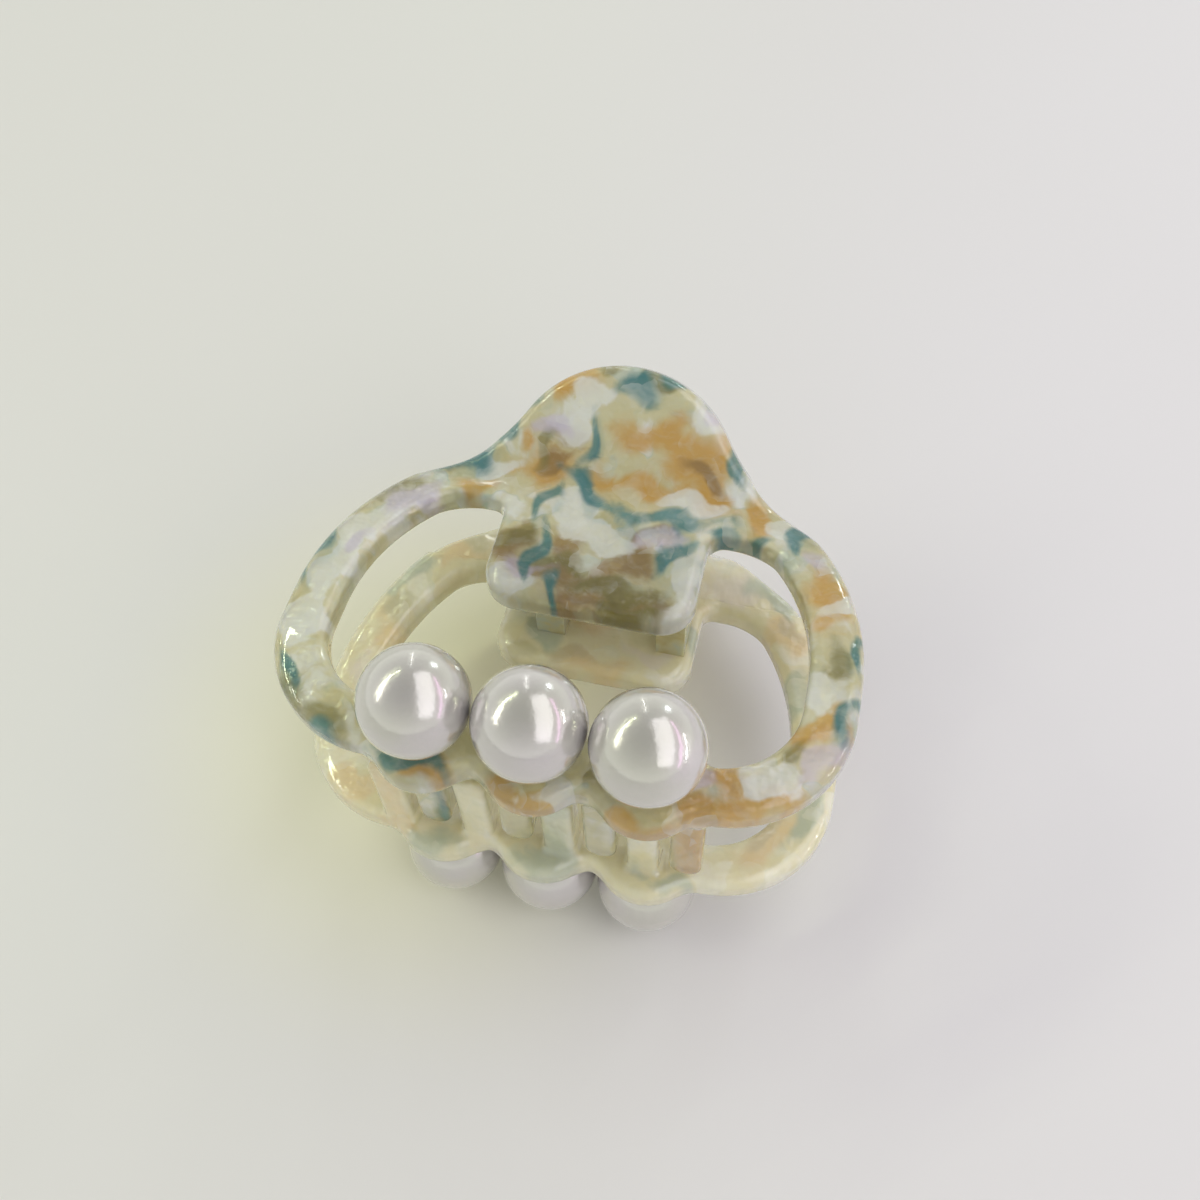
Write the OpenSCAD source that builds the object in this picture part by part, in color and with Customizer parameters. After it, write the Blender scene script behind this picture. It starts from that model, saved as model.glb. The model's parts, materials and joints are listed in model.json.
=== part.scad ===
// Claw clip: two identical acetate jaws on a sprung hinge, with three pearls on each jaw.
//
// Clip frame: X across the clip, Y from the pearl row back to the thumb tabs, and Z out of
// the upper jaw, with Z = 0 midway between the jaws. The lower jaw is the upper one turned
// half a turn about Y. The finished clip is then tipped to lie on its three lower pearls
// and the edge of its lower thumb tab, with Z = 0 on the table.

/* [Jaw] */
// Width of the ring, across the limbs
ring_w = 54.2; // [50:0.1:58]
// Distance from the pearl row back to where the ring is widest
ring_mid_y = 12.5; // [11:0.1:13.5]
// Width of the limbs at the sides
limb_w = 4.9; // [4.4:0.1:5.4]
// Width of the front bar
bar_w = 4.5; // [4:0.1:5]
// Distance from the pearl row forward to the edge of the front bar
front_edge = 2.4; // [2:0.1:2.8]
// Radius of the ring's front corners
corner_r = 11.5; // [10:0.5:12.5]
// Distance from the pearl row back to the shoulders of the ring
shoulder_y = 31.8; // [31:0.1:32.5]
// Distance from the pearl row back to the rear bar's inner edge
rear_bar_y = 28; // [27:0.1:28.3]
// Thickness of the acetate sheet
sheet_t = 3.5; // [3:0.1:3.8]

/* [Side profile] */
// Height of the outer face at the crown of the bow, above the mid-plane
crown_z = 10.2; // [9.8:0.1:10.6]
// Distance from the pearl row back to the crown of the bow
crown_y = 8.5; // [7:0.5:10]
// Radius of the bow, on the outer face
bow_r = 112; // [100:1:130]
// Distance from the pearl row back to the start of the fold
fold_y = 29.5; // [29.2:0.1:29.8]
// Radius of the fold, on the outer face
fold_r = 5; // [4.5:0.5:6]
// Angle of the thumb tab to the mid-plane
tab_angle = 48; // [40:1:55]
// Length of the thumb tab past the fold
tab_len = 9.3; // [8:0.1:10]
// Radius of the tab's round end
tab_r = 12.3; // [11.5:0.1:13]
// Radius of the flare between the tab and the ring's shoulders
flare_r = 7; // [6:0.5:8]

/* [Flap] */
// Width of the flap that carries the hinge
flap_w = 21.2; // [20:0.1:23]
// Distance from the pearl row back to the flap's free edge
flap_y = 17; // [16.8:0.1:18.5]
// Radius of the flap's free corners
flap_corner_r = 3.5; // [2:0.5:5]
// Slope of the flap towards the mid-plane
flap_slope = 2.5; // [0:0.5:4]

/* [Teeth] */
// Number of teeth on each jaw
tooth_count = 4; // [3:1:5]
// Distance between neighbouring teeth, taking both jaws together
tooth_pitch = 4.05; // [3.8:0.05:4.2]
// Width of a tooth
tooth_w = 3.1; // [2.6:0.1:3.2]
// Thickness of a tooth
tooth_t = 2.8; // [2.4:0.1:3.2]
// Distance that a tooth reaches past the mid-plane
tooth_reach = 5; // [3:0.1:5.5]

/* [Pearls] */
// Radius of a pearl
pearl_r = 5; // [4.5:0.05:5]
// Distance between neighbouring pearls
pearl_pitch = 10.13; // [10.05:0.01:10.5]
// Height of the pearls' centres above the mid-plane
pearl_z = 14.6; // [14.4:0.05:14.75]
// Radius of the peg inside a pearl
peg_r = 0.6; // [0.4:0.1:1]
// Depth of the peg in the pearl
peg_in_pearl = 3; // [2:0.5:4]
// Depth of the peg in the jaw
peg_in_jaw = 2; // [1.5:0.1:2.5]

/* [Hinge] */
// Distance from the pearl row back to the hinge pin
hinge_y = 23.5; // [22.5:0.1:24]
// Radius of the hinge pin
pin_r = 0.8; // [0.6:0.05:1]
// Radial clearance of the pin in the knuckles that turn on it
pin_clearance = 0.05; // [0.02:0.01:0.1]
// Outer radius of a knuckle
knuckle_r = 2.7; // [2.4:0.1:3]
// Length of a knuckle along the pin
knuckle_w = 3; // [2:0.1:3.2]
// Gap between neighbouring knuckles
knuckle_gap = 0.4; // [0.3:0.05:0.6]
// Distance from the middle of the pin to the nearer end of an inner knuckle
spring_room = 3.2; // [3:0.1:3.4]
// Diameter of the spring wire
wire_d = 0.9; // [0.7:0.05:1]
// Radius of the spring's coil, to the middle of the wire
coil_r = 1.75; // [1.6:0.05:1.9]
// Whole turns in the spring, besides the part turn between its legs
coil_turns = 4; // [3:1:4]
// Distance from one turn of the coil to the next
coil_pitch = 1.1; // [1.05:0.05:1.15]

/* [Hidden] */
$fn = 96;
slack = 0.02;
// The tab is this much smaller all round than the end of the fold, which it runs back into
tab_inset = 0.05;
tab_lap = 0.6;
ring_r = ring_w / 2;
hole_r = ring_r - limb_w;
hole_front_y = bar_w - front_edge;
hole_corner_r = corner_r - 4;
lobe_r = pearl_r - 0.1;

// Side profile: the bow runs into the fold, and the fold into the flat tab
bow_centre = [crown_y, crown_z - bow_r];
fold_start_a = asin((fold_y - crown_y) / bow_r);
fold_start = bow_centre + bow_r * [sin(fold_start_a), cos(fold_start_a)];
fold_centre = fold_start + fold_r * [sin(fold_start_a), cos(fold_start_a)];
fold_end = fold_centre + fold_r * [sin(tab_angle), -cos(tab_angle)];
tab_end = tab_len - tab_inset;
tab_tip = fold_end + tab_end * dir(tab_angle) - tab_inset * dir(tab_angle + 90);
tab_tip_inner = tab_tip - (sheet_t - 2 * tab_inset) * dir(tab_angle + 90);
face_z = bow_centre[1] + sqrt(bow_r * bow_r - crown_y * crown_y);

// Outline of the tab in its own plane, with distances from the end of the fold: a round end,
// then a flare on each side that runs over the fold and meets the shoulder
tab_mid = tab_len - tab_r;
shoulder_a = asin((shoulder_y - fold_centre[0]) / fold_r);
shoulder_s = fold_r * (shoulder_a - tab_angle) * PI / 180;
flare_mid = shoulder_s + flare_r;
flare_x = sqrt(pow(tab_r + flare_r, 2) - pow(flare_mid - tab_mid, 2));
flare_top_a = atan((flare_mid - tab_mid) / flare_x);
flare_fold_a = asin(flare_mid / flare_r);
flare_fold_x = flare_x - flare_r * cos(flare_fold_a);

// The flap hangs from the outer face at the start of the fold
flap_inner_z = fold_start[1] - sheet_t / cos(flap_slope) - (fold_y - hinge_y) * tan(flap_slope);

// Resting pose: tangent from the tab's edge to the lower pearls
rest_reach = norm([tab_tip[0], tab_tip[1] - pearl_z]);
rest_tilt = asin(pearl_r / rest_reach) - atan((tab_tip[1] - pearl_z) / tab_tip[0]);
rest_z = pearl_z * cos(rest_tilt) + pearl_r;
rear_y = tab_tip_inner[0] * cos(rest_tilt) + tab_tip_inner[1] * sin(rest_tilt);
front_y = -pearl_z * sin(rest_tilt) - pearl_r;
rest_y = -(rear_y + front_y) / 2;

// Knuckles along the pin: each jaw has one inner and one outer knuckle
inner_x = spring_room + knuckle_w / 2;
outer_x = inner_x + knuckle_w + knuckle_gap;
pin_len = 2 * outer_x + knuckle_w;

// Spring: the legs leave the coil along tangents and end against the inner faces
wire_r = wire_d / 2;
leg_end = [fold_centre[0] - hinge_y, fold_centre[1] - fold_r - sheet_t - wire_r - 0.05];
leg_end_a = atan2(leg_end[1], leg_end[0]);
leg_a = leg_end_a - asin(coil_r / norm(leg_end));
coil_start_a = leg_a + 90;
coil_sweep = 360 * coil_turns + 360 - 2 * coil_start_a;
coil_len = coil_pitch * coil_sweep / 360;
coil_steps = 20 * coil_turns + 8;
wire_sides = 10;

// From the clip frame to the table
module on_table() {
    translate([0, rest_y, rest_z]) rotate([-rest_tilt, 0, 0]) children();
}

// The lower jaw's parts are the upper jaw's, turned half a turn about Y
module lower_side() {
    rotate([0, 180, 0]) children();
}

// A shape drawn in the YZ plane, made w wide across the clip
module across(w) {
    rotate([90, 0, 90]) translate([0, 0, -w / 2]) linear_extrude(w) children();
}

// Ring of radii r_in to r_out about c, between the directions a1 and a2
module arc_band(c, r_in, r_out, a1, a2) {
    reach = 2 * r_out;
    translate(c) intersection() {
        difference() {
            circle(r_out, $fn = 180);
            circle(r_in, $fn = 180);
        }
        polygon([[0, 0], reach * [cos(a1), sin(a1)], reach * [cos(a2), sin(a2)]]);
    }
}

// Points along an arc about c, from direction a1 to a2
function arc(c, r, a1, a2, n = 12) = [for (i = [0:n]) c + r * dir(a1 + (a2 - a1) * i / n)];
function dir(a) = [cos(a), sin(a)];

// A half outline on the right, with its mirror image on the left
function both_sides(half) = concat(
    half,
    [for (i = [len(half) - 1:-1:0]) [-half[i][0], half[i][1]]]
);

// Right half of a D: a front corner of radius c, then a round rear of radius r, up to y = rear
function dee(r, c, front, rear) = concat(
    arc([r - c, front + c], c, -90, 0),
    arc([0, ring_mid_y], r, 0, asin((rear - ring_mid_y) / r), 20)
);

// Distance back from the pearl row to a place in the fold that is s past the fold's end
function fold_plan_y(s) = fold_centre[0] + fold_r * sin(tab_angle + s / fold_r * 180 / PI);

// Right half of the plan over the fold, from the shoulder to the foot of the flat tab
function flare_plan() = [
    for (p = arc([flare_x, flare_mid], flare_r, 270, 180 + flare_fold_a))
        [p[0], fold_plan_y(p[1])]
];

// Plan of the ring, the rear bar and the fold
module ring_plan() {
    difference() {
        polygon(both_sides(concat(
            dee(ring_r, corner_r, -front_edge, shoulder_y),
            flare_plan(),
            [[flare_fold_x, fold_end[0] + sheet_t]]
        )));
        polygon(both_sides(dee(hole_r, hole_corner_r, hole_front_y, rear_bar_y)));
    }
    for (i = [-1:1]) translate([i * pearl_pitch, 0]) circle(lobe_r);
}

// Plan of the flap, run back into the rear bar
module flap_plan() {
    centre = [flap_w / 2 - flap_corner_r, flap_y + flap_corner_r];
    polygon(both_sides(concat(arc(centre, flap_corner_r, -90, 0), [[flap_w / 2, fold_y]])));
}

// The ring and rear bar, bowed
module bowed_ring() {
    intersection() {
        across(ring_w + 2) union() {
            arc_band(bow_centre, bow_r - sheet_t, bow_r, 90 - fold_start_a, 102);
            arc_band(fold_centre, fold_r, fold_r + sheet_t, -90 - fold_start_a, tab_angle - 90);
        }
        linear_extrude(20) ring_plan();
    }
}

// Outline of the tab in its own plane, begun a little way back in the fold
module tab_plan() {
    polygon(both_sides(concat(
        [[flare_fold_x - tab_inset, -tab_lap]],
        arc([flare_x, flare_mid], flare_r + tab_inset, 180 + flare_fold_a, 180 + flare_top_a, 8),
        arc([0, tab_mid], tab_r - tab_inset, flare_top_a, 90, 16)
    )));
}

// The thumb tab, flat past the fold
module thumb_tab() {
    translate([0, fold_end[0], fold_end[1]]) rotate([tab_angle, 0, 0])
        translate([0, 0, tab_inset - sheet_t]) linear_extrude(sheet_t - 2 * tab_inset) tab_plan();
}

module flap() {
    translate([0, fold_y, fold_start[1]]) rotate([flap_slope, 0, 0])
        translate([0, -fold_y, -sheet_t]) linear_extrude(sheet_t) flap_plan();
}

// One tooth, hanging from the front bar past the mid-plane
module tooth() {
    tip_r = tooth_w / 2;
    translate([0, tooth_t - front_edge, 0]) rotate([90, 0, 0]) linear_extrude(tooth_t)
        polygon(both_sides(concat(
            arc([0, tip_r - tooth_reach], tip_r, -90, 0),
            [[tip_r, face_z - sheet_t / 2]]
        )));
}

module jaw() {
    difference() {
        union() {
            bowed_ring();
            thumb_tab();
            flap();
            for (i = [0:tooth_count - 1])
                translate([tooth_pitch * (2 * i - tooth_count + 1.5), 0, 0]) tooth();
        }
        for (i = [-1:1]) translate([i * pearl_pitch, 0, pearl_z]) {
            sphere(pearl_r + slack);
            translate([0, 0, face_z - peg_in_jaw - pearl_z]) cylinder(h = pearl_r, r = peg_r);
        }
    }
}

// Round knuckle on a block that is bonded under the flap; hole_r is the radius of its bore
module knuckle(hole_r) {
    translate([0, hinge_y, 0]) difference() {
        across(knuckle_w) difference() {
            union() {
                circle(knuckle_r);
                translate([-knuckle_r, 0]) square([2 * knuckle_r, flap_inner_z + 1]);
            }
            translate([0, flap_inner_z]) rotate(flap_slope) translate([-10, -slack]) square([20, 10]);
        }
        translate([-knuckle_w, 0, 0]) rotate([0, 90, 0]) cylinder(h = 2 * knuckle_w, r = hole_r);
    }
}

module pearl() {
    difference() {
        translate([0, 0, pearl_z]) sphere(pearl_r);
        translate([0, 0, face_z - 1]) cylinder(h = 1 + peg_in_pearl, r = peg_r);
    }
}

module peg() {
    translate([0, 0, face_z - peg_in_jaw]) cylinder(h = peg_in_jaw + peg_in_pearl, r = peg_r);
}

// Centre line of the spring wire, from the upper leg's end to the lower leg's end
function coil_point(a, x) = [x, coil_r * cos(a), coil_r * sin(a)];
function spring_path() = concat(
    [[coil_len / 2, leg_end[0], leg_end[1]]],
    [for (i = [0:coil_steps])
        coil_point(coil_start_a + coil_sweep * i / coil_steps, coil_len * (0.5 - i / coil_steps))],
    [[-coil_len / 2, leg_end[0], -leg_end[1]]]
);

// Tube of radius r along the points p, which turn about X
module wire(p, r) {
    last = len(p) - 1;
    rings = [for (i = [0:last])
        let (
            run = p[min(i + 1, last)] - p[max(i - 1, 0)],
            along = run / norm(run),
            side = cross(along, [1, 0, 0]),
            out = side / norm(side),
            up = cross(along, out)
        )
        [for (k = [0:wire_sides - 1])
            p[i] + r * (cos(360 * k / wire_sides) * out + sin(360 * k / wire_sides) * up)]
    ];
    polyhedron(
        points = [for (ring = rings) each ring],
        faces = concat(
            [[for (k = [0:wire_sides - 1]) k]],
            [for (i = [0:last - 1], k = [0:wire_sides - 1])
                let (n = (k + 1) % wire_sides, a = i * wire_sides, b = a + wire_sides)
                [a + n, a + k, b + k, b + n]],
            [[for (k = [wire_sides - 1:-1:0]) last * wire_sides + k]]
        )
    );
}

module upper_jaw() {
    color("honeydew") on_table() jaw();
}

module lower_jaw() {
    color("honeydew") on_table() lower_side() jaw();
}

// The upper knuckles turn on the pin
module upper_knuckle(x) {
    color("palegoldenrod") on_table() translate([x, 0, 0]) knuckle(pin_r + pin_clearance);
}

// The lower knuckles grip the pin
module lower_knuckle(x) {
    color("palegoldenrod") on_table() lower_side() translate([x, 0, 0]) knuckle(pin_r);
}

module hinge_pin() {
    color("silver") on_table() translate([-pin_len / 2, hinge_y, 0])
        rotate([0, 90, 0]) cylinder(h = pin_len, r = pin_r);
}

module torsion_spring() {
    color("gainsboro") on_table() translate([0, hinge_y, 0]) wire(spring_path(), wire_r);
}

module upper_pearl(i) {
    color("ivory") on_table() translate([i * pearl_pitch, 0, 0]) pearl();
}

module lower_pearl(i) {
    color("ivory") on_table() lower_side() translate([-i * pearl_pitch, 0, 0]) pearl();
}

module upper_peg(i) {
    color("silver") on_table() translate([i * pearl_pitch, 0, 0]) peg();
}

module lower_peg(i) {
    color("silver") on_table() lower_side() translate([-i * pearl_pitch, 0, 0]) peg();
}

upper_jaw();
lower_jaw();
upper_knuckle(inner_x);  // upper_knuckle_inner
upper_knuckle(-outer_x);  // upper_knuckle_outer
lower_knuckle(inner_x);  // lower_knuckle_inner
lower_knuckle(-outer_x);  // lower_knuckle_outer
hinge_pin();
torsion_spring();
upper_pearl(-1);  // upper_pearl_left
upper_pearl(0);  // upper_pearl_middle
upper_pearl(1);  // upper_pearl_right
lower_pearl(-1);  // lower_pearl_left
lower_pearl(0);  // lower_pearl_middle
lower_pearl(1);  // lower_pearl_right
upper_peg(-1);  // upper_peg_left
upper_peg(0);  // upper_peg_middle
upper_peg(1);  // upper_peg_right
lower_peg(-1);  // lower_peg_left
lower_peg(0);  // lower_peg_middle
lower_peg(1);  // lower_peg_right
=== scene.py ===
"""Looks of the claw clip: two marbled acetate jaws, six pearls, the hinge and its spring.

Shapes are worked out in the clip frame, in millimetres: X across the clip, Y from the pearl
row back to the thumb tabs, Z out of the upper jaw, with Z = 0 midway between the jaws.
to_row then turns them into the row frame, in metres. The lower jaw is the upper one
turned half a turn about Y.
"""

import json
import math

import bpy
import numpy as np
from mathutils import Matrix, Vector


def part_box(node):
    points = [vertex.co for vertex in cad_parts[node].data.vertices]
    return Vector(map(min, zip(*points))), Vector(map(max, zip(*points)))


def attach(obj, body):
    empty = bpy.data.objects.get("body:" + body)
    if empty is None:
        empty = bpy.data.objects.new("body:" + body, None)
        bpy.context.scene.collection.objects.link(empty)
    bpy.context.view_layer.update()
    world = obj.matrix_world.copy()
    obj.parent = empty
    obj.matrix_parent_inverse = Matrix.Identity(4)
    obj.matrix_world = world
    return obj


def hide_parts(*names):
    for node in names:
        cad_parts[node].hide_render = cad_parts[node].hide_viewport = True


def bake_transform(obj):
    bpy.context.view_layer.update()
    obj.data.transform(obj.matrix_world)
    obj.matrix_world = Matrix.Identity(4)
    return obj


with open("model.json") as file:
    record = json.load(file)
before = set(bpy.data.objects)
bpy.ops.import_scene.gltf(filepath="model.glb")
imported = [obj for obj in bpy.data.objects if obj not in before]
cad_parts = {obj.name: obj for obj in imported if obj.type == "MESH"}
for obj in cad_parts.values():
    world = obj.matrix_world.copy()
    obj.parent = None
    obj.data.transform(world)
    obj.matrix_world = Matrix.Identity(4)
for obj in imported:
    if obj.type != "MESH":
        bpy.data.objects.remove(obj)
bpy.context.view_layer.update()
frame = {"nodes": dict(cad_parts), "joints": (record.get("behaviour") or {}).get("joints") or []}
MM = 0.001


# ---------------------------------------------------------------- frame of the clip

def middle(node):
    low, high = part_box(node)
    return (low + high) / 2


def width(node):
    low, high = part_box(node)
    return (high.x - low.x) / MM


UP = (middle("upper_pearl_middle") - middle("lower_pearl_middle")).normalized()
ACROSS = Vector((1, 0, 0))
BACK = UP.cross(ACROSS)
ORIGIN = (middle("upper_pearl_middle") + middle("lower_pearl_middle")) / 2
AXES = np.array([ACROSS, BACK, UP])
HALF_TURN = np.array([-1, 1, -1])
JAW_TURNS = {"upper": np.ones(3), "lower": HALF_TURN}


def to_row(points):
    """Clip-frame points in millimetres, as row-frame points in metres."""
    return np.array(ORIGIN) + MM * np.asarray(points, float) @ AXES


def row_direction(direction):
    return Vector(np.asarray(direction, float) @ AXES)


# ---------------------------------------------------------------- sizes, in millimetres

ring_r = width("upper_jaw") / 2
pearl_r = width("upper_pearl_middle") / 2
pearl_pitch = (middle("upper_pearl_right") - middle("upper_pearl_middle")).x / MM
pearl_z = (middle("upper_pearl_middle") - ORIGIN).length / MM
hinge_y = (Vector(frame["joints"][0]["pos_m"]) - ORIGIN).dot(BACK) / MM

ring_mid_y, limb_w, bar_w, front_edge = 12.5, 4.9, 4.5, 2.4
corner_r, shoulder_y, rear_bar_y, sheet_t = 11.5, 31.8, 28, 3.5
crown_z, crown_y, bow_r, fold_y, fold_r, tab_angle = 10.2, 8.5, 112, 29.5, 5, math.radians(48)
tab_len, tab_r, flare_r = 9.3, 12.3, 7
flap_w, flap_y, flap_corner_r, flap_slope = 21.2, 17, 3.5, math.radians(2.5)
tooth_count, tooth_pitch, tooth_w, tooth_t, tooth_reach = 4, 4.05, 3.1, 2.8, 5
peg_r, peg_in_pearl, peg_in_jaw, lobe_r = 0.6, 3, 2, pearl_r - 0.1
edge_r, tooth_edge_r, seat_slack = 1.2, 0.55, 0.02
shoulder_corner_r, hole_front_r, hole_rear_r = 3, corner_r - 4, 1.8
flap_fillet, lobe_fillet, tooth_fillet = 1.5, 1.2, 0.7
wire_r, coil_r, coil_turns, coil_pitch, leg_gap = 0.45, 1.75, 4, 1.1, 0.05

# Teeth stand two pitches apart, half a pitch off the middle, so that the two jaws' teeth interleave
tooth_places = [tooth_pitch * (2 * i - (tooth_count - 1) + 0.5) for i in range(tooth_count)]
# The flap runs this far into the fold, and its depth fades in across its sides
flap_overlap, fade_outside, fade_inside = 2, 1.8, 0.2

# Side profile: the bow runs into the fold, and the fold into the flat tab
bow_centre = np.array([crown_y, crown_z - bow_r])
fold_start_a = math.asin((fold_y - crown_y) / bow_r)
fold_start = bow_centre + bow_r * np.array([math.sin(fold_start_a), math.cos(fold_start_a)])
fold_centre = fold_start + fold_r * np.array([math.sin(fold_start_a), math.cos(fold_start_a)])
fold_end = fold_centre + fold_r * np.array([math.sin(tab_angle), -math.cos(tab_angle)])
fold_len = fold_r * (tab_angle + fold_start_a)
tab_start = fold_y + fold_len
face_z = bow_centre[1] + math.sqrt(bow_r ** 2 - crown_y ** 2)


# ---------------------------------------------------------------- the jaw as a distance field

def unroll(y, z):
    """Place along the outer face, and depth below it, of a point in the side view."""
    from_bow = np.hypot(y - bow_centre[0], z - bow_centre[1])
    from_fold = np.hypot(y - fold_centre[0], z - fold_centre[1])
    fold_a = np.arctan2(y - fold_centre[0], fold_centre[1] - z)
    along_tab = (y - fold_end[0]) * math.cos(tab_angle) + (z - fold_end[1]) * math.sin(tab_angle)
    below_tab = (y - fold_end[0]) * math.sin(tab_angle) - (z - fold_end[1]) * math.cos(tab_angle)
    on_bow = (y - fold_start[0]) * math.cos(fold_start_a) < (z - fold_start[1]) * math.sin(fold_start_a)
    on_tab = along_tab > 0
    place = np.where(on_bow, y, fold_y + fold_r * (fold_a + fold_start_a))
    place = np.where(on_tab, tab_start + along_tab, place)
    depth = np.where(on_bow, bow_r - from_bow, from_fold - fold_r)
    depth = np.where(on_tab, below_tab, depth)
    return place, depth


def round_union(a, b, r):
    """Union of two distances, with a fillet of radius r."""
    return np.maximum(r, np.minimum(a, b)) - np.hypot(np.maximum(r - a, 0), np.maximum(r - b, 0))


def round_cut(a, b, r):
    """What two shapes share, with a corner of radius r."""
    return np.minimum(-r, np.maximum(a, b)) + np.hypot(np.maximum(r + a, 0), np.maximum(r + b, 0))


def corner(a, b):
    """Distance to the corner that two distances at right angles make."""
    return np.minimum(np.maximum(a, b), 0) + np.hypot(np.maximum(a, 0), np.maximum(b, 0))


def dee(x, v, r, c, front):
    """Distance to a D: a front edge with corners of radius c, and a round rear of radius r."""
    front_part = corner(np.abs(x) - (r - c), front + c - v) - c
    rear_part = np.hypot(x, v - ring_mid_y) - r
    return np.where(v < ring_mid_y, front_part, rear_part)


def ease(value, start, end):
    """0 at start and 1 at end, level at both."""
    t = np.clip((value - start) / (end - start), 0, 1)
    return t * t * (3 - 2 * t)


def flap_share(x, y):
    """1 over the flap, 0 over the ring."""
    return ease(np.abs(x), flap_w / 2 + fade_outside, flap_w / 2 - fade_inside) * (y > flap_y / 2)


def outline(x, v):
    """Distance to the outline of the unrolled sheet."""
    shoulder_v = fold_y + fold_r * (math.asin((shoulder_y - fold_centre[0]) / fold_r) + fold_start_a)
    ring = round_cut(dee(x, v, ring_r, corner_r, -front_edge), v - shoulder_v, shoulder_corner_r)
    tab = np.hypot(x, v - (tab_start + tab_len - tab_r)) - tab_r
    body = round_union(ring, tab, flare_r)
    inner = dee(x, v, ring_r - limb_w, hole_front_r, bar_w - front_edge)
    hole = round_cut(inner, v - rear_bar_y, hole_rear_r)
    body = np.maximum(body, -hole)
    flap = corner(np.abs(x) - (flap_w / 2 - flap_corner_r), flap_y + flap_corner_r - v) - flap_corner_r
    body = round_union(body, np.maximum(flap, v - rear_bar_y - flap_overlap), flap_fillet)
    for i in (-1, 0, 1):
        body = round_union(body, np.hypot(x - i * pearl_pitch, v) - lobe_r, lobe_fillet)
    return body


def slab(flat, depth, t, r):
    """A sheet t thick with that outline, and edges of radius r."""
    return corner(flat + r, np.abs(depth - t / 2) - t / 2 + r) - r


def over_the_flap(x, y, z, depth):
    """Depth below the outer face, with the flap leaving the fold along a tangent."""
    tangent_y = fold_centre[0] + fold_r * math.sin(flap_slope)
    tangent_z = fold_centre[1] - fold_r * math.cos(flap_slope)
    below_flap = (tangent_z - (tangent_y - y) * math.tan(flap_slope) - z) * math.cos(flap_slope)
    return depth + flap_share(x, y) * (y < tangent_y) * (below_flap - depth)


def tooth_field(x, y, z, tooth_x):
    """Distance to a round-ended tooth that hangs from the middle of the sheet."""
    r = tooth_w / 2
    beside = np.abs(x - tooth_x)
    flat = np.where(z < r - tooth_reach, np.hypot(beside, z - r + tooth_reach), beside) - r
    flat = np.maximum(flat, z - (face_z - sheet_t / 2))
    return slab(flat, y + front_edge, tooth_t, tooth_edge_r)


def jaw_field(p):
    """Signed distance to the upper jaw, for clip-frame points in millimetres."""
    x, y, z = p[:, 0], p[:, 1], p[:, 2]
    v, depth = unroll(y, z)
    body = slab(outline(x, v), over_the_flap(x, y, z, depth), sheet_t, edge_r)
    for tooth_x in tooth_places:
        body = round_union(body, tooth_field(x, y, z, tooth_x), tooth_fillet)
    for i in (-1, 0, 1):
        seat = pearl_r + seat_slack - np.sqrt((x - i * pearl_pitch) ** 2 + y ** 2 + (z - pearl_z) ** 2)
        hole = np.minimum(peg_r - np.hypot(x - i * pearl_pitch, y), z - (face_z - peg_in_jaw))
        body = np.maximum(body, np.maximum(seat, hole))
    return body


def gradient(field, p, step=0.02):
    """Slope of the field at each point, from central differences."""
    out = np.empty_like(p)
    for k in range(3):
        d = np.zeros(3)
        d[k] = step
        out[:, k] = (field(p + d) - field(p - d)) / (2 * step)
    return out


def surface_net(field, low, high, cell):
    """Vertices and quads of the field's zero surface, with one vertex in each cell it crosses."""
    counts = np.ceil((np.array(high) - low) / cell).astype(int) + 1
    places = [low[k] + cell * np.arange(counts[k]) for k in range(3)]
    grid = np.stack(np.meshgrid(*places, indexing="ij"), -1).reshape(-1, 3)
    value = field(grid).reshape(counts)
    inside = value < 0
    total = np.zeros([*(counts - 1), 3])
    hits = np.zeros(counts - 1)
    crossings = []
    for axis in range(3):
        first = [slice(None)] * 3
        second = [slice(None)] * 3
        first[axis], second[axis] = slice(None, -1), slice(1, None)
        a, b = value[tuple(first)], value[tuple(second)]
        at = np.argwhere(inside[tuple(first)] != inside[tuple(second)])
        fa, fb = a[tuple(at.T)], b[tuple(at.T)]
        point = at.astype(float)
        point[:, axis] += fa / (fa - fb)
        flip = fa > 0
        others = [k for k in range(3) if k != axis]
        corners = []
        for du, dv in ((0, 0), (1, 0), (1, 1), (0, 1)):
            c = at.copy()
            c[:, others[0]] -= du
            c[:, others[1]] -= dv
            np.add.at(total, tuple(c.T), point)
            np.add.at(hits, tuple(c.T), 1)
            corners.append(c)
        crossings.append((axis, flip, corners))
    used = hits > 0
    index = -np.ones(hits.shape, int)
    index[used] = np.arange(used.sum())
    verts = low + cell * total[used] / hits[used][:, None]
    faces = []
    for axis, flip, corners in crossings:
        quad = np.stack([index[tuple(c.T)] for c in corners], 1)
        turn = flip if axis != 1 else ~flip
        quad[turn] = quad[turn][:, ::-1]
        faces.append(quad)
    return verts, np.concatenate(faces)


def settle(field, verts, rounds=4, least_slope=0.3, longest_move=0.15):
    """Moves each vertex onto the surface."""
    for _ in range(rounds):
        g = gradient(field, verts)
        size = np.maximum((g ** 2).sum(1), least_slope)
        move = -(field(verts) / size)[:, None] * g
        verts = verts + np.clip(move, -longest_move, longest_move)
    return verts


# ---------------------------------------------------------------- meshes

def new_mesh(name, verts, faces):
    """A smooth-shaded object with those vertices and faces, each a list or an array."""
    faces = faces.tolist() if isinstance(faces, np.ndarray) else faces
    mesh = bpy.data.meshes.new(name)
    mesh.from_pydata(np.asarray(verts).tolist(), [], faces)
    mesh.validate()
    mesh.polygons.foreach_set("use_smooth", [True] * len(mesh.polygons))
    obj = bpy.data.objects.new(name, mesh)
    bpy.context.scene.collection.objects.link(obj)
    return obj


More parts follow.
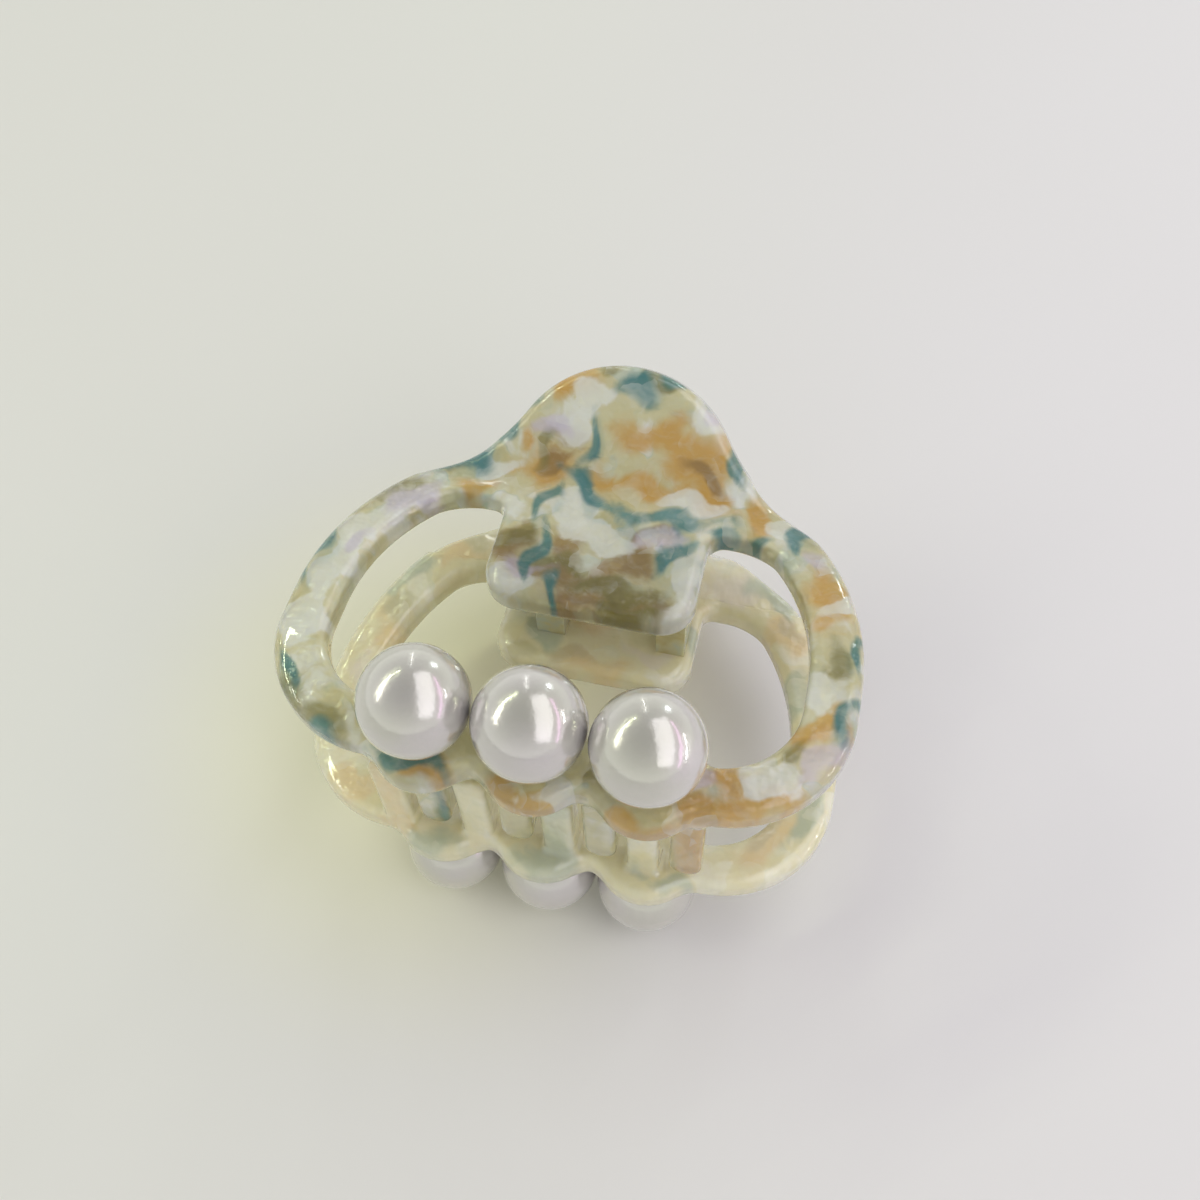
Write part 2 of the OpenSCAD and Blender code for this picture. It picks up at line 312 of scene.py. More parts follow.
def give_vector(obj, name, values):
    attribute = obj.data.attributes.new(name, "FLOAT_VECTOR", "POINT")
    attribute.data.foreach_set("vector", np.asarray(values, np.float32).ravel())


def give_number(obj, name, values):
    attribute = obj.data.attributes.new(name, "FLOAT", "POINT")
    attribute.data.foreach_set("value", np.asarray(values, np.float32))


# ---------------------------------------------------------------- shader graphs

class Graph:
    """Short calls for building a material's nodes."""

    def __init__(self, name):
        self.material = bpy.data.materials.new(name)
        self.material.use_nodes = True
        self.tree = self.material.node_tree
        self.tree.nodes.clear()

    def add(self, kind, inputs=None, **settings):
        node = self.tree.nodes.new(kind)
        for key, value in settings.items():
            setattr(node, key, value)
        for key, value in (inputs or {}).items():
            self.set(node.inputs[key], value)
        return node

    def set(self, socket, value):
        if isinstance(value, bpy.types.NodeSocket):
            self.tree.links.new(value, socket)
        else:
            socket.default_value = value

    def maths(self, operation, a, b=0.0, c=0.0):
        return self.add("ShaderNodeMath", {0: a, 1: b, 2: c}, operation=operation).outputs[0]

    def smooth(self, value, low, high):
        node = self.add("ShaderNodeMapRange", {"Value": value, "From Min": low, "From Max": high},
                        interpolation_type="SMOOTHSTEP")
        return node.outputs["Result"]

    def mix(self, factor, a, b):
        node = self.add("ShaderNodeMix", data_type="RGBA")
        self.set(node.inputs["Factor"], factor)
        self.set(node.inputs[6], a)
        self.set(node.inputs[7], b)
        return node.outputs[2]

    def noise(self, vector, scale, detail=2.0, rough=0.5):
        return self.add("ShaderNodeTexNoise", {"Vector": vector, "Scale": scale, "Detail": detail,
                                               "Roughness": rough})

    def chips(self, vector, scale, smoothness):
        """Random colours in rounded cells, as red, green and blue."""
        inputs = {"Vector": vector, "Scale": scale, "Smoothness": smoothness}
        cells = self.add("ShaderNodeTexVoronoi", inputs, feature="SMOOTH_F1")
        return self.add("ShaderNodeSeparateColor", {0: cells.outputs["Color"]}).outputs

    def ramp(self, value, stops):
        """Colours along a scale; stops lists (place, colour)."""
        node = self.add("ShaderNodeValToRGB", {"Fac": value})
        ramp = node.color_ramp
        while len(ramp.elements) < len(stops):
            ramp.elements.new(0.5)
        for element, (place, colour) in zip(ramp.elements, stops):
            element.position = place
            element.color = colour
        return node.outputs["Color"]

    def attribute(self, name):
        return self.add("ShaderNodeAttribute", attribute_name=name)

    def scale(self, vector, factors):
        return self.add("ShaderNodeVectorMath", {0: vector, 1: factors}, operation="MULTIPLY").outputs[0]

    def shift(self, vector, by):
        return self.add("ShaderNodeVectorMath", {0: vector, 1: by}, operation="ADD").outputs[0]

    def object_mm(self):
        """Place on the piece, in millimetres."""
        return self.scale(self.add("ShaderNodeTexCoord").outputs["Object"], (1 / MM, 1 / MM, 1 / MM))

    def bend(self, place, warp_scale, reach):
        """The place, pushed about by a soft noise."""
        warp = self.shift(self.noise(place, warp_scale, 2.0).outputs["Color"], (-0.5, -0.5, -0.5))
        return self.add("ShaderNodeVectorMath", {0: warp, 1: reach, 2: place},
                        operation="MULTIPLY_ADD").outputs[0]

    def roughness(self, value, low, high):
        node = self.add("ShaderNodeMapRange", {"Value": value, "To Min": low, "To Max": high})
        return node.outputs["Result"]

    def bump(self, height, strength, distance):
        inputs = {"Height": height, "Strength": strength, "Distance": distance}
        return self.add("ShaderNodeBump", inputs).outputs[0]

    def finish(self, inputs):
        shader = self.add("ShaderNodeBsdfPrincipled", inputs)
        out = self.add("ShaderNodeOutputMaterial")
        self.tree.links.new(shader.outputs[0], out.inputs[0])
        return self.material


CREAM = (0.71, 0.67, 0.42, 1)
HONEY = (0.63, 0.56, 0.28, 1)
CELADON = (0.59, 0.66, 0.55, 1)
MIST = (0.74, 0.75, 0.68, 1)
AMBER = (0.67, 0.39, 0.06, 1)
OLIVE = (0.25, 0.23, 0.06, 1)
BROWN = (0.34, 0.20, 0.05, 1)
WHITE = (0.87, 0.89, 0.86, 1)
TEAL = (0.04, 0.23, 0.25, 1)
LILAC = (0.68, 0.61, 0.78, 1)
# Painted light: the pale honey mixed into the lower jaw, standing in for light that comes through the
# upper jaw
PAINTED_THROUGH_LIGHT = (0.98, 0.92, 0.68, 1)
PEARL_CREAM, PEARL_ROSE = (0.56, 0.545, 0.48, 1), (0.58, 0.545, 0.54, 1)
# PEARL_GRAIN is the bead's own grain; the other colour here is a painted reflection, the paler sheen
# towards the bead's rim
PEARL_GRAIN, PEARL_PAINTED_RIM_SHEEN = (0.50, 0.52, 0.50, 1), (0.86, 0.85, 0.84, 1)
STEEL_DARK, STEEL_LIGHT = (0.55, 0.55, 0.56, 1), (0.74, 0.74, 0.75, 1)
FLOOR_LEFT, FLOOR_RIGHT = (0.71, 0.71, 0.68, 1), (0.73, 0.715, 0.735, 1)
# FLOOR_CLOUD is the floor's own cloudy tone; the other colour here is painted light, the warm pool
# painted on the floor beside the clip
FLOOR_CLOUD, FLOOR_PAINTED_LIGHT = (0.71, 0.695, 0.685, 1), (0.86, 0.84, 0.60, 1)
HORIZON, ZENITH = (0.98, 1.0, 0.93, 1), (0.34, 0.34, 0.34, 1)

# Patches of colour on each jaw, as (x, v, half length, half width, turn from X in degrees).
# v is the distance back from the pearl row along the outer face.
UPPER_PATCHES = {
    "amber": [
        (-6, 41.4, 2.4, 1.5, 30), (-10.2, 35.2, 1.7, 0.8, 80), (-7.2, 32.8, 3.2, 1.7, 20),
        (4, 37.2, 4.2, 1.8, 0), (7.8, 35.8, 3.6, 2.3, -25), (9.6, 32.8, 2.6, 1.6, -40),
        (2.6, 32.2, 4.2, 1.1, 0), (15.3, 30.8, 1.3, 1.9, 0), (22.4, 23, 1.7, 1.9, 0),
        (23.2, 18.8, 1.5, 1.1, 20), (-16.8, 22.6, 1.2, 2.6, -20), (23.6, 7.3, 1.9, 1.2, 60),
        (25.8, 8.6, 1.0, 1.5, 0), (18.5, -1.4, 5.5, 1.3, 20), (16.8, 0.8, 2.0, 1.0, 10),
        (-8.9, 23.2, 1.2, 1.4, 0),
        (-0.4, -4.4, 3.0, 1.0, 0), (10, -4.6, 3.4, 0.7, 0), (-22.5, -2, 2.0, 1.0, -30),
        (-13.5, 29.5, 1.5, 0.9, 20), (-9, -3.6, 1.8, 0.9, 0)],
    "brown": [
        (-8.7, 22.2, 1.7, 2.3, 0), (-3.2, 23.0, 2.0, 2.0, 0), (2.3, 21.9, 3.6, 1.4, 35),
        (2.2, 18.2, 5.4, 1.6, 0), (-3.4, 20.2, 2.4, 1.3, 0), (-6.8, 33.6, 2.4, 0.8, 30),
        (4.6, 26.4, 2.0, 0.7, 40), (-5.6, 36.4, 1.4, 1.0, 0), (8.4, 34.4, 2.6, 0.7, -30)],
    "teal": [
        (-3.2, 36.0, 3.0, 0.5, 82), (-1.6, 30.2, 4.0, 0.9, -38), (5.6, 28.9, 5.0, 0.9, 4),
        (-15.6, 32.2, 2.4, 1.2, 15), (-11.6, 37.2, 3.2, 0.6, 55), (0.6, 41.8, 2.4, 1.1, -8),
        (11.6, 36.8, 3.6, 0.5, -60), (-5.9, 22.6, 2.8, 0.6, 85), (-6.6, 28.6, 2.4, 0.6, 75),
        (7.3, 24.6, 2.2, 0.8, 55), (-18.5, -3.0, 4.6, 1.0, -20), (26.4, 15.8, 2.2, 0.5, 85),
        (25.9, 8.6, 2.2, 0.7, 60), (-3.0, 18.4, 1.8, 0.5, -60), (-26.4, 16.5, 2.6, 0.5, 85),
        (-8, 44.0, 2.0, 0.6, 30), (5, 43.0, 4.0, 0.5, -25), (19.4, 29.2, 1.8, 0.7, 70),
        (-10.5, -3.2, 2.2, 0.6, 0), (13.0, 27.8, 2.0, 0.6, 0), (-24.5, 3.4, 2.0, 0.5, -60)],
    "white": [
        (-3.9, 28.7, 2.4, 1.6, -10), (-0.2, 25.3, 2.8, 1.3, -15), (-7.6, 18.8, 2.9, 1.0, 0),
        (9.4, 21.0, 1.4, 3.4, 0), (7.6, 31.0, 3.2, 0.9, 0), (24.3, 20.9, 1.5, 1.0, 30),
        (23.8, 11.0, 1.9, 1.4, 70), (20.5, 1.6, 1.7, 1.6, 0), (-21.8, 21.6, 4.4, 1.5, 60),
        (-24.2, 14.6, 3.0, 1.4, 80), (-24.4, 8.4, 2.2, 1.7, 80), (8.2, 40.4, 2.8, 0.9, -42),
        (-12.6, 31.6, 2.2, 1.0, 10), (-5.4, 37.4, 1.6, 1.8, 0), (17.8, 29.6, 1.6, 1.2, 0),
        (-3.6, 40.6, 1.3, 1.6, 0), (-16.2, -3.4, 2.4, 0.8, 0), (3.2, -3.8, 2.2, 0.7, 0)],
    "lilac": [
        (5.6, 26.2, 2.2, 1.1, 30), (9.0, 40.2, 2.4, 0.7, -45), (-19.6, 25.6, 2.6, 1.3, 50),
        (14.2, 0.4, 1.2, 0.9, 0), (24.6, 4.4, 3.0, 0.8, 55), (-6.4, 20.4, 2.0, 0.7, 0),
        (21.2, 26.2, 1.6, 1.0, -50), (-23.0, 18.2, 1.8, 0.7, 60), (-7.4, 36.6, 1.6, 0.9, 0)],
    "olive": [
        (-21.6, 27.0, 2.6, 0.9, 45), (-21.2, -0.6, 4.2, 1.5, -18), (24.5, 14.8, 1.9, 1.2, 80),
        (-3.6, 43.8, 3.4, 0.7, 12), (2.8, 19.4, 4.2, 1.2, -5), (-7.8, 34.6, 2.2, 0.6, 60),
        (-3.2, 21.6, 2.4, 1.0, 0), (-8.6, 23.4, 1.4, 1.4, 0), (4.2, 17.2, 3.0, 0.7, 0),
        (3.4, 43.2, 2.0, 0.7, -10), (22.0, 4.4, 1.5, 0.9, 40)],
}
LOWER_PATCHES = {
    "brown": [(-20.6, 4.6, 2.6, 0.8, -55), (2.0, 18.6, 3.0, 0.7, 0), (-20.2, 27.4, 1.4, 0.8, 60)],
    "amber": [
        (19.8, 0.4, 2.2, 1.5, -40), (13.2, -3.4, 3.2, 1.0, 10), (-21.4, 3.8, 4.0, 1.5, -55),
        (-19.9, 26.2, 2.2, 1.5, 60), (-0.2, 17.8, 2.6, 1.1, 0), (17.0, 29.8, 3.0, 1.4, -20),
        (22.6, 18.0, 1.3, 2.6, 0), (4, 38, 4, 2, 20), (-7, 34, 3, 2, -30), (2, 24, 3, 1.8, 10)],
    "teal": [
        (10.4, -3.8, 2.4, 1.0, 0), (-0.8, -3.8, 2.8, 1.4, 0), (-24.2, 6.8, 3.4, 1.0, -75),
        (-18.2, 30.3, 2.4, 0.8, 20), (-21.8, 20.0, 3.4, 0.9, -80), (9.6, 24.4, 2.2, 0.8, 70),
        (5.8, 20.8, 2.2, 1.1, 50), (-9.4, 24.0, 3.0, 0.8, 60), (-13, -3.0, 2.4, 0.6, 0),
        (22.4, 26.0, 2.4, 1.2, -50), (-9, 38, 3, 0.7, 60), (7, 41, 3, 0.7, -40), (0, 31, 4, 0.7, 10)],
    "white": [
        (-16.0, -1.0, 2.6, 1.1, 0), (24.2, 8.0, 1.4, 2.6, 0), (-5, 30.4, 2.6, 1.1, 0),
        (8.5, 28.5, 2.2, 1.2, 0), (20.6, 24.4, 2.0, 1.1, 40), (-3, 40, 2.4, 1.6, 0)],
    "lilac": [
        (-12.4, 30.4, 3.0, 1.4, 0), (23.6, 13.0, 2.4, 1.0, 90), (-6, 20.0, 2.2, 0.9, 0)],
    "olive": [
        (16.6, 31.4, 3.0, 1.0, 0), (21.8, 22.0, 1.0, 2.4, 20), (-23.4, 13.0, 1.1, 2.6, 0),
        (7.6, 17.8, 1.8, 0.8, 0), (-2, 35, 3, 1.4, -20)],
}
# Colour, where its edge starts and ends, and how strongly it covers
PATCH_LOOKS = {
    "amber": (AMBER, -0.35, 0.45, 0.88), "brown": (BROWN, -0.35, 0.45, 0.85),
    "olive": (OLIVE, -0.30, 0.45, 0.80),
    "white": (WHITE, -0.20, 0.12, 0.80), "lilac": (LILAC, -0.30, 0.40, 0.65),
    "teal": (TEAL, -0.40, 0.45, 0.92)}


def patch_field(patches, x, v):
    """1 at the middle of a patch and 0 at its edge; the highest of all the patches.

    The edges wander by sway_x and sway_v, and each patch is spread a little past its size."""
    spread, sway_x, sway_v = 1.2, 0.7, 0.6
    x, v = x + sway_x * np.sin(0.9 * v + 0.7 * x), v + sway_v * np.sin(1.1 * x - 0.5 * v)
    field = np.full(len(x), -1.0)
    for px, pv, half_length, half_width, turn in patches:
        c, s = math.cos(math.radians(turn)), math.sin(math.radians(turn))
        along = (c * (x - px) + s * (v - pv)) / (spread * half_length)
        beside = (c * (v - pv) - s * (x - px)) / (spread * half_width)
        field = np.maximum(field, 1 - np.hypot(along, beside))
    return field


def acetate(name, lower):
    """Marbled acetate: a honey base with cloudy chips, under the patches of colour.

    lower is 1 for the lower jaw, which is painted paler to stand in for light coming through the upper
    jaw onto it, and has another stretch of the pattern, or 0."""
    g = Graph(name)
    place = g.attribute("sheet").outputs["Vector"]
    place = g.shift(place, (lower * 40.0, lower * 25.0, 0.0))
    place = g.scale(place, (1.0, 1.0, 0.5))
    bent = g.bend(place, 0.3, (3.0, 3.0, 1.5))

    chip = g.chips(bent, 0.3, 0.25)
    base = g.ramp(chip[0], [(0.15, HONEY), (0.4, CREAM), (0.6, CELADON), (0.72, MIST), (0.9, WHITE)])
    clouds = g.noise(bent, 0.22, 3.0, 0.6).outputs["Fac"]
    base = g.mix(g.smooth(clouds, 0.62, 0.42), base, CREAM)

    ragged = g.maths("MULTIPLY_ADD", chip[1], 0.4, -0.2)
    fine = g.maths("MULTIPLY_ADD", g.noise(bent, 0.6, 2.0, 0.5).outputs["Fac"], 0.8, -0.4)
    ragged = g.maths("ADD", ragged, fine)
    for kind, (colour, start, end, most) in PATCH_LOOKS.items():
        level = g.maths("ADD", g.attribute(kind).outputs["Fac"], ragged)
        cover = g.maths("MULTIPLY", g.smooth(level, start, end), most)
        base = g.mix(cover, base, colour)

    streaks = g.noise(g.scale(bent, (0.8, 1.6, 1.0)), 0.6, 3.0, 0.6).outputs["Fac"]
    base = g.mix(g.maths("MULTIPLY", g.smooth(streaks, 0.45, 0.75), 0.2), base, MIST)
    glint = g.chips(bent, 0.5, 0.1)[2]
    pearly = g.maths("MULTIPLY", g.smooth(glint, 0.68, 0.86), g.smooth(clouds, 0.42, 0.6))
    base = g.mix(g.maths("MULTIPLY", pearly, 0.35), base, WHITE)

    # Painted light: the lower jaw's colour is mixed towards a pale honey, standing in for the light that
    # comes through the translucent upper jaw onto it
    base = g.mix(0.58 * lower, base, PAINTED_THROUGH_LIGHT)
    waves = g.noise(place, 0.45, 2.0).outputs["Fac"]
    haze = g.noise(place, 3.0, 3.0).outputs["Fac"]
    return g.finish({
        "Base Color": base, "Roughness": g.roughness(haze, 0.08, 0.18), "IOR": 1.49,
        "Subsurface Weight": 0.8, "Subsurface Radius": (1.0, 0.95, 0.7), "Subsurface Scale": 0.002,
        "Transmission Weight": 0.55 - 0.25 * lower,
        "Coat Weight": 1.0, "Coat Roughness": 0.02, "Coat IOR": 1.5,
        "Normal": g.bump(waves, 0.5, 0.0008)})


def pearl_material():
    """Pearl lacquer: a soft metal sheen under a clear coat, with a paler reflection painted in towards
    the rim.
    """
    g = Graph("pearl_lacquer")
    place = g.object_mm()
    cloud = g.noise(place, 0.12, 2.0).outputs["Fac"]
    tint = g.mix(g.smooth(cloud, 0.35, 0.65), PEARL_CREAM, PEARL_ROSE)
    grain = g.noise(place, 9.0, 3.0).outputs["Fac"]
    tint = g.mix(g.maths("MULTIPLY", grain, 0.14), tint, PEARL_GRAIN)
    # Painted reflection: the colour turns paler where the surface faces away, standing in for the
    # surroundings the bead reflects
    painted_rim_sheen = g.add("ShaderNodeLayerWeight", {"Blend": 0.35}).outputs["Facing"]
    tint = g.mix(g.maths("MULTIPLY", painted_rim_sheen, 0.5), tint, PEARL_PAINTED_RIM_SHEEN)
    peel = g.noise(place, 1.6, 2.0).outputs["Fac"]
    return g.finish({
        "Base Color": tint, "Roughness": g.roughness(grain, 0.16, 0.26), "IOR": 1.6, "Metallic": 0.55,
        "Subsurface Weight": 0.3, "Subsurface Radius": (1.0, 0.9, 0.9), "Subsurface Scale": 0.001,
        "Coat Weight": 1.0, "Coat Roughness": 0.03, "Coat IOR": 1.7,
        "Thin Film Thickness": 380.0, "Thin Film IOR": 1.6,
        "Normal": g.bump(peel, 0.08, 0.0003)})


def steel_material():
    """Steel with fine marks in bands across the clip."""
    g = Graph("drawn_steel")
    place = g.object_mm()
    lines = g.noise(g.scale(place, (14.0, 1.5, 1.5)), 1.0, 3.0).outputs["Fac"]
    tint = g.mix(lines, STEEL_DARK, STEEL_LIGHT)
    return g.finish({
        "Base Color": tint, "Metallic": 1.0, "Roughness": g.roughness(lines, 0.18, 0.36),
        "Normal": g.bump(lines, 0.2, 0.00005)})


def knuckle_material():
    """The jaws' acetate on the small knuckles, in softer colours."""
    g = Graph("marbled_knuckle")
    place = g.object_mm()
    bent = g.bend(place, 0.5, (2.5, 2.5, 2.5))
    clouds = g.noise(bent, 0.3, 2.0).outputs["Fac"]
    tint = g.ramp(clouds, [(0.3, CELADON), (0.45, CREAM), (0.6, HONEY), (0.75, CREAM)])
    haze = g.noise(place, 4.0, 3.0).outputs["Fac"]
    return g.finish({
        "Base Color": tint, "Roughness": g.roughness(haze, 0.12, 0.25), "IOR": 1.49,
        "Subsurface Weight": 0.6, "Subsurface Radius": (1.0, 0.95, 0.8), "Subsurface Scale": 0.001,
        "Coat Weight": 0.4, "Coat Roughness": 0.05, "Transmission Weight": 0.4,
        "Normal": g.bump(haze, 0.1, 0.0001)})


def floor_material():
    """A pale matt floor, with a warm pool of light painted on it beside the clip, where light would come
    through the acetate.
    """
    g = Graph("pale_floor")
    place = g.add("ShaderNodeTexCoord").outputs["Object"]
    tone = g.noise(place, 6.0, 2.0).outputs["Fac"]
    across = g.add("ShaderNodeSeparateXYZ", {0: place}).outputs[0]
    tint = g.mix(g.smooth(across, -0.05, 0.05), FLOOR_LEFT, FLOOR_RIGHT)
    tint = g.mix(g.maths("MULTIPLY", g.smooth(tone, 0.4, 0.6), 0.3), tint, FLOOR_CLOUD)
    # Painted light: a warm pool mixed into the floor's colour beside the clip, standing in for light
    # tinted by passing through the acetate
    painted_light_pool = g.add("ShaderNodeVectorMath", {0: place, 1: (-0.018, -0.004, 0.0)}, operation="DISTANCE")
    painted_light_pool = g.smooth(painted_light_pool.outputs["Value"], 0.042, 0.008)
    tint = g.mix(g.maths("MULTIPLY", painted_light_pool, 0.75), tint, FLOOR_PAINTED_LIGHT)
    grain = g.noise(place, 900.0, 2.0).outputs["Fac"]
    return g.finish({
        "Base Color": tint, "Roughness": g.roughness(grain, 0.45, 0.6),
        "Normal": g.bump(grain, 0.05, 0.0001)})


# ---------------------------------------------------------------- jaws

def build_jaws():
    quick_cell, full_cell, margin = 0.5, 0.32, 1
    cell = full_cell
    low = np.array([-ring_r - margin, -pearl_r - margin, -tooth_reach - margin])
    high = np.array([ring_r + margin, fold_end[0] + tab_len + margin, fold_end[1] + tab_len])
    verts, faces = surface_net(jaw_field, low, high, cell)
    verts = settle(jaw_field, verts)
    v, depth = unroll(verts[:, 1], verts[:, 2])
    sheet = np.stack([verts[:, 0], v, depth], 1)
    for body, turn in JAW_TURNS.items():
        jaw = new_mesh(f"{body}_jaw_acetate", to_row(verts * turn), faces)
        give_vector(jaw, "sheet", sheet)
        for kind, patches in (UPPER_PATCHES if body == "upper" else LOWER_PATCHES).items():
            give_number(jaw, kind, patch_field(patches, verts[:, 0], v))
        jaw.data.materials.append(acetate(f"acetate_{body}", 0 if body == "upper" else 1))
        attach(jaw, body)
        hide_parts(f"{body}_jaw")


# ---------------------------------------------------------------- pearls and metal parts

def lathe(profile, segments):
    """Vertices and faces of an outline of (radius, height) turned about the third axis."""
    verts, faces = [], []
    for r, h in profile:
        verts += [(r * math.cos(2 * math.pi * k / segments), r * math.sin(2 * math.pi * k / segments), h)
                  for k in range(segments)]
    for i in range(len(profile) - 1):
        for k in range(segments):
            n = (k + 1) % segments
            a, b = i * segments, (i + 1) * segments
            faces.append((a + k, a + n, b + n, b + k))
    faces.append(tuple(reversed(range(segments))))
    last = (len(profile) - 1) * segments
    faces.append(tuple(last + k for k in range(segments)))
    return np.array(verts), faces


def pearl_profile():
    """A bead with its drilled hole, from the hole's end round to the far pole."""
    chamfer, slack, pole_a, rings = 0.12, 0.02, 0.02, 56
    rim_a = math.asin((peg_r + chamfer) / pearl_r)
    top = [(peg_r + slack, peg_in_pearl + face_z - pearl_z),
           (peg_r + slack, -math.cos(rim_a) * pearl_r + chamfer)]
    ball = [(pearl_r * math.sin(a), -pearl_r * math.cos(a))
            for a in np.linspace(rim_a, math.pi - pole_a, rings)]
    return top + ball


def build_pearls(material):
    verts, faces = lathe(pearl_profile(), segments=96)
    for body, turn in JAW_TURNS.items():
        for side, i in (("left", -1), ("middle", 0), ("right", 1)):
            place = np.array([i * pearl_pitch * turn[0], 0, pearl_z])
            pearl = new_mesh(f"{body}_pearl_{side}_bead", to_row((verts + place) * turn), faces)
            pearl.data.materials.append(material)
            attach(pearl, body)
            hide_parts(f"{body}_pearl_{side}")


def tube(path, r, sides=20):
    """A round wire along a path, with rounded ends."""
    path = np.asarray(path, float)
    rings = []
    along = np.gradient(path, axis=0)
    along /= np.linalg.norm(along, axis=1)[:, None]
    # Each end ring: how far in it is, in millimetres, and its share of the radius
    ends = [(0, 0.55), (0.08, 0.85), (0.22, 1)]
    spine = [(path[0] + along[0] * inset, share) for inset, share in ends]
    spine += [(p, 1) for p in path[1:-1]]
    spine += [(path[-1] - along[-1] * inset, share) for inset, share in reversed(ends)]
    directions = [along[0]] * len(ends) + list(along[1:-1]) + [along[-1]] * len(ends)
    for (p, share), d in zip(spine, directions):
        side = np.cross(d, (1.0, 0, 0))
        side /= np.linalg.norm(side)
        up = np.cross(d, side)
        turn = 2 * np.pi * np.arange(sides) / sides
        rings.append(p + share * r * (np.cos(turn)[:, None] * side + np.sin(turn)[:, None] * up))
    faces = []
    for i in range(len(rings) - 1):
        for k in range(sides):
            n = (k + 1) % sides
            a, b = i * sides, (i + 1) * sides
            faces.append((a + k, b + k, b + n, a + n))
    faces.append(tuple(range(sides)))
    last = (len(rings) - 1) * sides
    faces.append(tuple(last + k for k in reversed(range(sides))))
    return np.concatenate(rings), faces


def build_spring(material):
    """The coil on the pin, with a leg from each end to the inside of a jaw's fold."""
    leg = np.array([fold_centre[0] - hinge_y, fold_centre[1] - fold_r - sheet_t - wire_r - leg_gap])
    leg_a = math.atan2(leg[1], leg[0]) - math.asin(coil_r / np.hypot(*leg))
    start_a = leg_a + math.pi / 2
    sweep = 2 * math.pi * (coil_turns + 1) - 2 * start_a
    length = coil_pitch * sweep / (2 * math.pi)
    points_per_turn, leg_points = 48, 16
    turns = np.linspace(0, 1, points_per_turn * coil_turns)
    coil = np.stack([length * (0.5 - turns), coil_r * np.cos(start_a + sweep * turns),
                     coil_r * np.sin(start_a + sweep * turns)], 1)
    upper_leg = np.array([length / 2, leg[0], leg[1]])
    lower_leg = np.array([-length / 2, leg[0], -leg[1]])
    share = np.linspace(0, 1, leg_points)[:-1, None]
    path = np.concatenate([upper_leg + share * (coil[0] - upper_leg), coil,
                           lower_leg + share[::-1] * (coil[-1] - lower_leg)])
    path[:, 1] += hinge_y
    verts, faces = tube(path, wire_r)
    spring = new_mesh("torsion_spring_wire", to_row(verts), faces)
    spring.data.materials.append(material)
    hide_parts("torsion_spring")
    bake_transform(spring)


def build_pin(material):
    low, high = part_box("hinge_pin")
    half, r = (high.x - low.x) / 2 / MM, (high.z - low.z) / 2 / MM
    chamfer, crown, end_length, rings = 0.18, 0.05, 1, 24
    profile = [(r - 2 * chamfer, -half), (r - chamfer, -half + crown), (r, -half + chamfer)]
    profile += [(r, h) for h in np.linspace(-half + end_length, half - end_length, rings)]
    profile += [(r, half - chamfer), (r - chamfer, half - crown), (r - 2 * chamfer, half)]
    verts, faces = lathe(profile, segments=48)
    verts = verts[:, [2, 0, 1]] + np.array([0, hinge_y, 0])
    pin = new_mesh("hinge_pin_rod", to_row(verts), faces)
    pin.data.materials.append(material)
    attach(pin, "lower")
    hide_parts("hinge_pin")


def paint_nodes(names, material):
    """Gives the material to CAD nodes that show as they are."""
    for name in names:
        node = frame["nodes"][name]
        node.data.materials.clear()
        node.data.materials.append(material)


# ---------------------------------------------------------------- stage, light and camera

def build_floor():
    """A square floor in small cells; size is half its side, in metres."""
    size = 1.2
    steps = 24
    line = np.linspace(-size, size, steps + 1)
    verts = [(x, y, 0.0) for y in line for x in line]
    row = steps + 1
    faces = [(j * row + i, j * row + i + 1, (j + 1) * row + i + 1, (j + 1) * row + i)
             for j in range(steps) for i in range(steps)]
    floor = new_mesh("floor", verts, faces)
    floor.data.materials.append(floor_material())


LAMP_DISTANCE = 0.6


def area_light(name, direction, size, radiance, colour, lean=0):
    """A rectangular lamp in that direction from the clip; size is (width, height) in metres.

    Its height runs up the picture, leaning to the right by that many degrees."""
    light = bpy.data.lights.new(name, "AREA")
    light.shape = "RECTANGLE"
    light.size, light.size_y = size
    light.energy = radiance * math.pi * size[0] * size[1]
    light.color = colour
    lamp = bpy.data.objects.new(name, light)
    away = Vector(direction).normalized()
    view = bpy.context.scene.camera.matrix_world.to_3x3()
    lean = math.radians(lean)
    tall = view @ Vector((math.sin(lean), math.cos(lean), 0))
    tall = (tall - tall.dot(away) * away).normalized()
    turn = Matrix((tall.cross(away), tall, away)).transposed().to_4x4()
    lamp.matrix_world = Matrix.Translation(LAMP_DISTANCE * away) @ turn
    bpy.context.scene.collection.objects.link(lamp)


